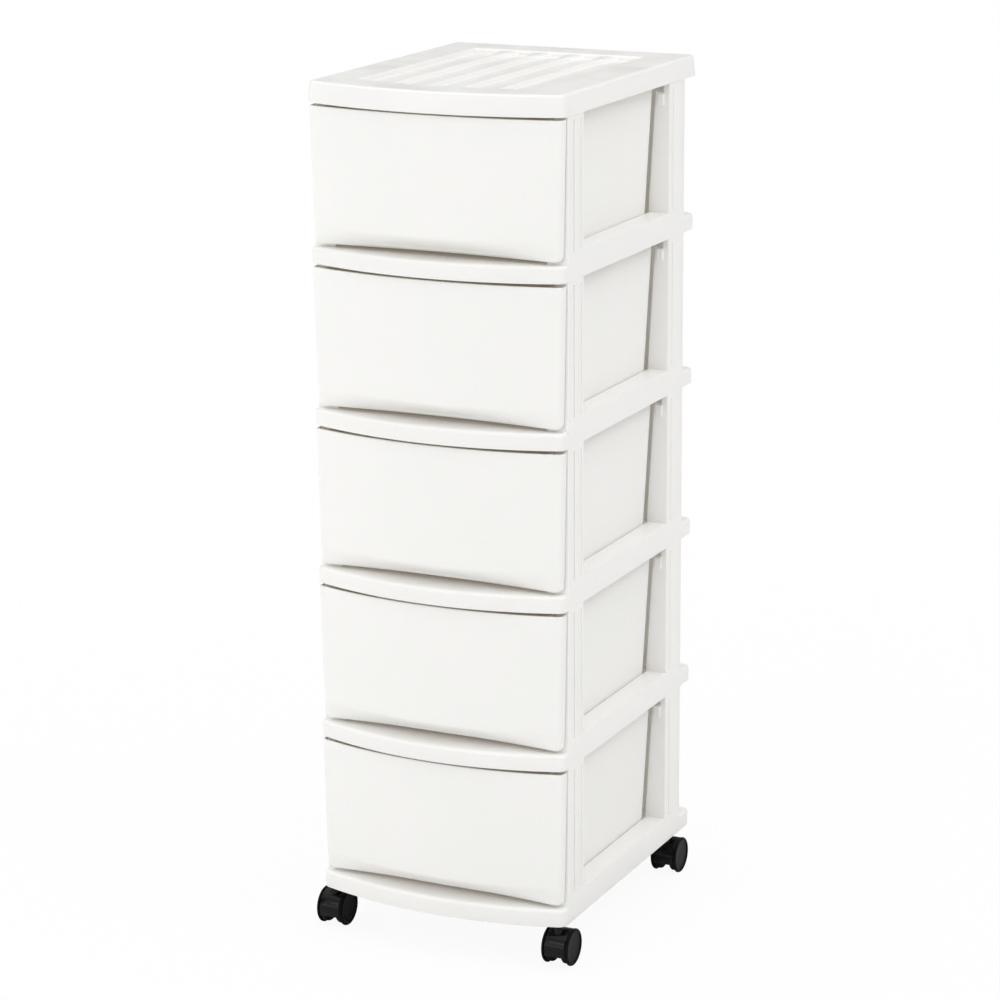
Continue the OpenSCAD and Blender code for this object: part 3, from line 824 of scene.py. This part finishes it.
def add_skin(s, rail, top):
    """The outer and the inner rows as one closed band, with a strip over both returns' ends."""
    outer, inner = skin_rows(top)
    out, inn = lift(outer, rail, top), lift(inner, rail, top)
    loop = np.concatenate([out, inn[::-1]])
    s.grid(loop.transpose(1, 0, 2), closed=True)
    for column in (0, -1):
        s.grid(np.stack([out[:, column], inn[:, column]], 1))


print("skin rows", len(skin_rows(140.0)[0]))

# %% [markdown]
# Behind the skin is the box. Its sides lean outwards by 3.5 degrees so that it leaves its mould,
# and it slides on a runner along each side. Between the runners and in front of them its floor is
# raised. It is drawn like a tray: rings from the underside, up the wall, over the rim and down
# inside, each with its own height. Its front follows the skin, half a thickness behind it, so that
# the two are one solid.

# %% The box behind it
BOX_LOW, BOX_HALF, BOX_BACK = -10.4, 124.3, 112.6
BOX_CORE, BOX_FRONT_R, BOX_BACK_R = 9.0, 3.0, 8.9
BOX_GAP, BOX_GAP_IN = 1.2, 2.5
BOX_HEIGHTS = (2.0, 6.0, 10.0, 12.5, 15.0, 20.0, 60.0, 100.0)
RUNNER, RUNNER_FRONT = 112.0 / (BOX_HALF - BOX_CORE), -148.0
box_across = np.concatenate([np.linspace(0, 0.93, 16), [RUNNER - 0.002, RUNNER, 0.985, 1.0]])
BOX_COLUMNS = Columns(box_across, [-148.4, -147.4, -120, -80, -40, 0, 40, 80, 96], blend=3)


def box_ring(z, inset, gap, top):
    """The box's plan at z, inset mm inside its outer wall. gap is its distance behind the face."""
    half = BOX_HALF + (z - BOX_LOW) * DRAFT - inset
    return BOX_COLUMNS.ring(half, lambda x: skin_face(x, z, top) + gap, BOX_BACK - inset,
                            max(BOX_FRONT_R - inset, 0.0), max(BOX_BACK_R - inset, 0.0))


def floor_step(x, y, half, low, middle):
    """low along the runners, middle between and in front of them. Their inner side stands at one
    share of the half width."""
    return np.where((np.abs(x) / half < RUNNER - 0.001) | (y < RUNNER_FRONT), middle, low)


def box_floor(ring, z_front, gap, back, low, middle, top):
    """The plain grid inside the innermost ring, with a step at each runner."""
    half = ring[:, 0].max()
    x, y = BOX_COLUMNS.core(half, lambda v: skin_face(v, z_front, top) + gap, back)
    return np.stack([x, y, floor_step(x, y, half, low, middle)], -1)


def add_box(s, rail, top):
    """Rings from the underside's core round the lower edge, up, over the rim, down inside and round
    the inner lower edge to the inner core, and the floor's two grids."""
    rim, r_out, r_in = top - 1.5, 5.0, 4.0
    rings = []
    core = box_ring(BOX_LOW, BOX_CORE, BOX_GAP + BOX_CORE, top)
    rings.append(at_height(core, floor_step(*core.T, core[:, 0].max(), BOX_LOW, SKIN["bottom"])))
    for a in quarter(5)[::-1]:
        inset = r_out * (1 - np.cos(a))
        ring = box_ring(BOX_LOW, inset, BOX_GAP + inset, top)
        floor = floor_step(*ring.T, ring[:, 0].max(), BOX_LOW, SKIN["bottom"])
        rings.append(at_height(ring, floor + r_out * (1 - np.sin(a))))
    for z in (*BOX_HEIGHTS, rim - 0.7):
        rings.append(at_height(box_ring(z, 0.0, BOX_GAP, top), z))
    for inset, drop in ((0.2, 0.2), (0.7, 0.0), (1.7, 0.0), (2.2, 0.2)):
        gap = BOX_GAP + (BOX_GAP_IN - BOX_GAP) * inset / WALL
        rings.append(at_height(box_ring(rim, inset, gap, top), rim - drop))
    floor_in, gap = SKIN["bottom"] + WALL, BOX_GAP_IN - WALL
    for z in (rim - 0.7, *BOX_HEIGHTS[:0:-1], 3.0):
        rings.append(at_height(box_ring(z, WALL, BOX_GAP_IN, top), z))
    for a in quarter(5)[1:]:
        inset = WALL + r_in * (1 - np.cos(a))
        ring = box_ring(0.0, inset, gap + inset, top)
        floor = floor_step(*ring.T, ring[:, 0].max(), BOX_LOW + WALL, floor_in)
        rings.append(at_height(ring, floor + r_in * (1 - np.sin(a))))
    inner_core = box_ring(0.0, WALL + BOX_CORE, gap + WALL + BOX_CORE, top)
    step = floor_step(*inner_core.T, inner_core[:, 0].max(), BOX_LOW + WALL, floor_in)
    rings.append(at_height(inner_core, step))
    rings = np.array(rings) + [0, 0, rail]
    s.grid(rings, closed=True)
    s.grid(box_floor(core, BOX_LOW, BOX_GAP + BOX_CORE, BOX_BACK - BOX_CORE, BOX_LOW,
                     SKIN["bottom"], top) + [0, 0, rail])
    s.grid(box_floor(inner_core, 0.0, gap + WALL + BOX_CORE, BOX_BACK - WALL - BOX_CORE,
                     BOX_LOW + WALL, floor_in, top) + [0, 0, rail])


for bay in range(1, 6):
    s = Surface()
    rail = rail_z(bay)
    top = ceiling_z(bay) - (TOP_GAP if bay == 1 else GAP) - rail
    add_skin(s, rail, top)
    add_box(s, rail, top)
    piece = s.piece(f"drawer_{bay}_moulding")
    place(piece, [f"drawer_{bay}"], f"drawer_{bay}", DRAWER_WHITE)
print("a drawer has", len(piece.data.polygons), "faces")

# %% [markdown]
# ## Casters
#
# Each caster is a hood over two wheels. The hood is a half tube with a web between the wheels that
# holds the axle, and a boss for the steel stem on which it swivels. A wheel is a plain turned
# shape: a narrow tread under the hood, a wide rim outside it, and a sunk face with a raised ring.
# The hood is a cross-section carried round an arc, and the rest are profiles turned about their
# axes.

# %% Casters
WHEEL_R, TRAIL, FACE_X = 21.0, 6.0, 16.0
HOOD_HALF, HOOD_R, HOOD_T, HOOD_EDGE_R, HOOD_SPAN = 12.5, 20.5, 1.0, 1.0, (-21, 170)
BORE_R, TREAD_R, RING_R, WHEEL_IN = 2.08, 19.1, 18.1, 6.2
CORNERS = [(where, side) for where in ("front", "back") for side in ("left", "right")]


def arc_of(radius, angle, centre_y):
    """Points on a circle about the axle: y = centre - r cos a, z = wheel radius + r sin a."""
    return np.stack([centre_y - radius * np.cos(angle), WHEEL_R + radius * np.sin(angle)], -1)


def make_hood(x0, y_axle, y_stem):
    """The shell's section carried round the axle, the web, the hub and the stem's boss."""
    s = Surface()
    turn = quarter(4)
    r = HOOD_EDGE_R
    right = [(HOOD_HALF - r + r * np.sin(a), HOOD_R - r + r * np.cos(a)) for a in turn]
    right.append((HOOD_HALF, HOOD_R - HOOD_T))
    section = np.array(right + [(-x, rad) for x, rad in right[::-1]])
    angles = np.radians(np.linspace(*HOOD_SPAN, 49))
    y = y_axle - section[:, 1] * np.cos(angles)[:, None]
    z = WHEEL_R + section[:, 1] * np.sin(angles)[:, None]
    x = np.broadcast_to(x0 + section[:, 0], y.shape)
    s.solid(np.stack([x, y, z], -1))
    arc = arc_of(HOOD_R - 0.6, np.radians(np.linspace(*HOOD_SPAN, 33)), y_axle)
    web = np.vstack([arc, [(y_axle + 3, WHEEL_R - 3.6), (y_axle - 3, WHEEL_R - 5.2)]])
    sides = [np.column_stack([np.full(len(web), x0 + dx), web]) for dx in (-2.5, 2.5)]
    s.solid(np.array(sides))
    s.solid(revolved([(4.4, -5.5), (5, -5.0), (5, 5.0), (4.4, 5.5)], (x0, y_axle, WHEEL_R),
                     (1, 0, 0), 40))
    top = BASE_Z - 1.2
    boss = [(5.5, WHEEL_R + 7), (5.5, top - 0.6), (5.3, top - 0.2), (4.9, top), (3.5, top)]
    s.solid(revolved(boss, (x0, y_stem, 0), UPRIGHT, 40))
    return s


def make_wheel(x0, y_axle, side):
    """Radius and distance from the caster's middle: bore, inner face, tread, rim and outer face.
    The hole for the axle is a second profile."""
    outer = FACE_X
    rim = [(WHEEL_R - 1.6 + 1.6 * np.cos(a), outer - 1.8 + 1.6 * np.sin(a)) for a in quarter(8)]
    back = [(WHEEL_R - 0.7 + 0.7 * np.sin(a), 13.6 - 0.7 * np.cos(a)) for a in quarter(4)]
    ring = [(RING_R + 0.8 * np.cos(a), outer - 0.8 + 0.8 * np.sin(a)) for a in
            np.linspace(0.1, np.pi - 0.1, 11)]
    inner = [(TREAD_R - 2 + 2 * np.sin(a), WHEEL_IN + 2 - 2 * np.cos(a)) for a in quarter(6)]
    profile = [(BORE_R, WHEEL_IN), *inner, (TREAD_R, 12.7), (TREAD_R + 0.2, 12.9),
               *back, *rim, (19.1, outer - 0.5), *ring, (17.2, outer - 0.9),
               (16.9, outer - 1.1), (16.0, outer - 1.2), (5.0, outer - 1.2), (0.01, outer - 1.2)]
    hole = [(BORE_R, WHEEL_IN), (BORE_R, outer - 1.6), (0.01, outer - 1.6)]
    s = Surface()
    for path in (profile, hole):
        rings = revolved(path, (x0, y_axle, WHEEL_R), (side, 0, 0), 96)
        s.grid(rings, closed=True).cap(rings[-1])
    return s


for where, side in CORNERS:
    corner = f"{where}_{side}"
    x0, y_stem = (STEM_X if side == "right" else -STEM_X), STEM_Y[where]
    y_axle = y_stem + TRAIL
    hood = make_hood(x0, y_axle, y_stem).piece(f"hood_{corner}_moulding")
    place(hood, [f"hood_{corner}"], f"caster_{corner}", GLOSS_BLACK)
    outward = 1 if side == "right" else -1
    for kind, direction in (("outer", outward), ("inner", -outward)):
        name = f"wheel_{kind}_{corner}"
        wheel = make_wheel(x0, y_axle, direction).piece(name + "_turned")
        place(wheel, [name], name, SATIN_BLACK)
    shaft = [(2.7, 31.0), (3.2, 31.5), (3.2, 61.0), (2.7, 61.5)]
    stem = Surface().solid(revolved(shaft, (x0, y_stem, 0), UPRIGHT, 40))
    place(stem.piece(f"stem_{corner}_turned"), [f"stem_{corner}"], "frame", STEEL)
    paint(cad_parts[f"axle_{corner}"], STEEL)
paint(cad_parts["caster_sockets"], GLOSS_BLACK)
print("casters", len(CORNERS))

# %% [markdown]
# ## Floor, light and camera
#
# White on white needs soft light from nearly everywhere. The world gives most of it: brightest
# overhead, weaker in front, and behind the tower a faint band and a low patch on its right, which
# set how much sheen the lid shows at a grazing angle. Three large softboxes, in front and to either
# side, tell the fronts from the sides, and a thin strip draws the line of light on the casters'
# hoods. To the camera, both the world and the floor are plain white, and the floor keeps a part of
# its own shading, so that the casters still stand on something.

# %% Floor
REACH = 6000.0
far = np.array([[(-REACH, -REACH, 0), (REACH, -REACH, 0)], [(-REACH, REACH, 0), (REACH, REACH, 0)]])
floor = Surface().grid(far).piece("studio_floor")
ground = Finish("studio_floor", Roughness=0.9, Specular_IOR_Level=0.1)
cloud = ground.noise(1.5, 2.0)
ground.feed(Base_Color=ground.mix(cloud, (0.86, 0.86, 0.86, 1), (0.84, 0.84, 0.84, 1)))
glow = ground.node("ShaderNodeEmission", Color=(1, 1, 1, 1), Strength=1.0)
seen = ground.node("ShaderNodeLightPath", output="Is Camera Ray")
out = ground.tree.nodes["Material Output"]
plain = Socket(ground.tree, ground.shader.outputs[0])
away = ground.node("ShaderNodeVectorMath", {"operation": "LENGTH"}, 1, _0=ground.place)
share = ground.ramp(away, 0.93, 1.0, 0.3, 2.0)
both = ground.node("ShaderNodeMixShader", _0=seen * share, _1=plain, _2=glow)
ground.tree.links.new(both.socket, out.inputs["Surface"])
paint(floor, ground.material)

# %% World and lamps
world = bpy.data.worlds.new("studio")
world.use_nodes = True
bpy.context.scene.world = world
tree = world.node_tree


def rise(value, low, high):
    """0 below low, 1 above high, and smooth_step's cubic between them."""
    node = tree.nodes.new("ShaderNodeMapRange")
    node.interpolation_type = "SMOOTHSTEP"
    node.inputs["From Min"].default_value = low
    node.inputs["From Max"].default_value = high
    tree.links.new(value.socket, node.inputs["Value"])
    return Socket(tree, node.outputs[0])


parts = tree.nodes.new("ShaderNodeSeparateXYZ")
tree.links.new(tree.nodes.new("ShaderNodeTexCoord").outputs["Generated"], parts.inputs[0])
aside, across, up_high = [Socket(tree, parts.outputs[k]) for k in "XYZ"]
WORLD = {"above": 1.38, "band": 0.31, "rear": 0.64, "front": 0.79}
rear = rise(across, -0.2, 0.2)
band = rise(up_high, 0.2, 0.4) * (1 - rise(up_high, 0.6, 0.8))
light = rise(up_high, 0.4, 0.9) * WORLD["above"] + rear * band * WORLD["band"]
light = light + rear * rise(aside, 0.0, 0.3) * (1 - rise(up_high, 0.05, 0.3)) * WORLD["rear"]
light = light + (1 - rear) * (1 - rise(up_high, 0.1, 0.4)) * WORLD["front"]
seen = Socket(tree, tree.nodes.new("ShaderNodeLightPath").outputs["Is Camera Ray"])
strength = light * (1 - seen) + seen
tree.links.new(strength.socket, tree.nodes["Background"].inputs["Strength"])
tree.nodes["Background"].inputs["Color"].default_value = (1, 1, 1, 1)


def stand(obj, where, x_axis, y_axis, z_axis):
    """Puts an object into the scene at where, with those axes as its own."""
    bpy.context.scene.collection.objects.link(obj)
    turn = np.column_stack([x_axis, y_axis, z_axis])
    obj.matrix_world = Matrix.Translation(where) @ Matrix(turn.tolist()).to_4x4()


def softbox(name, where, target, width, height, power):
    """An area lamp at where, facing target."""
    data = bpy.data.lights.new(name, "AREA")
    data.shape, data.size, data.size_y, data.energy = "RECTANGLE", width, height, power
    gaze = np.array(target, float) - np.array(where, float)
    z_axis = -gaze / np.linalg.norm(gaze)
    x_axis = np.cross(UPRIGHT, z_axis)
    x_axis /= np.linalg.norm(x_axis)
    stand(bpy.data.objects.new(name, data), where, x_axis, np.cross(z_axis, x_axis), z_axis)


softbox("front_softbox", (-1.2, -3.2, 1.3), (0, 0, 0.45), 2.2, 2.2, 17.5)
softbox("strip_softbox", (-0.4, -3.1, 1.6), (0, 0, 0.3), 2.4, 0.1, 5.0)
softbox("left_softbox", (-3.0, -0.3, 1.6), (0, 0, 0.6), 2.0, 2.0, 16.5)
softbox("right_softbox", (2.7, -0.3, 2.7), (0, 0, 0.6), 2.0, 2.0, 25.9)
scene = bpy.context.scene
scene.view_settings.view_transform = "Standard"

# %% Camera
EYE = (1.541409, -3.217591, 1.435398)
YAW, PITCH, ROLL = np.radians([25.677, 15.036, -0.387])
camera_data = bpy.data.cameras.new("camera")
camera_data.lens, camera_data.sensor_width = 117.89, 36.0
camera = bpy.data.objects.new("camera", camera_data)
gaze = np.array([-np.sin(YAW) * np.cos(PITCH), np.cos(YAW) * np.cos(PITCH), -np.sin(PITCH)])
right = np.array([np.cos(YAW), np.sin(YAW), 0])
up = np.cross(right, gaze)
stand(camera, EYE, np.cos(ROLL) * right + np.sin(ROLL) * up,
      -np.sin(ROLL) * right + np.cos(ROLL) * up, -gaze)
scene.camera = camera
print("camera at", [round(v, 3) for v in camera.location])
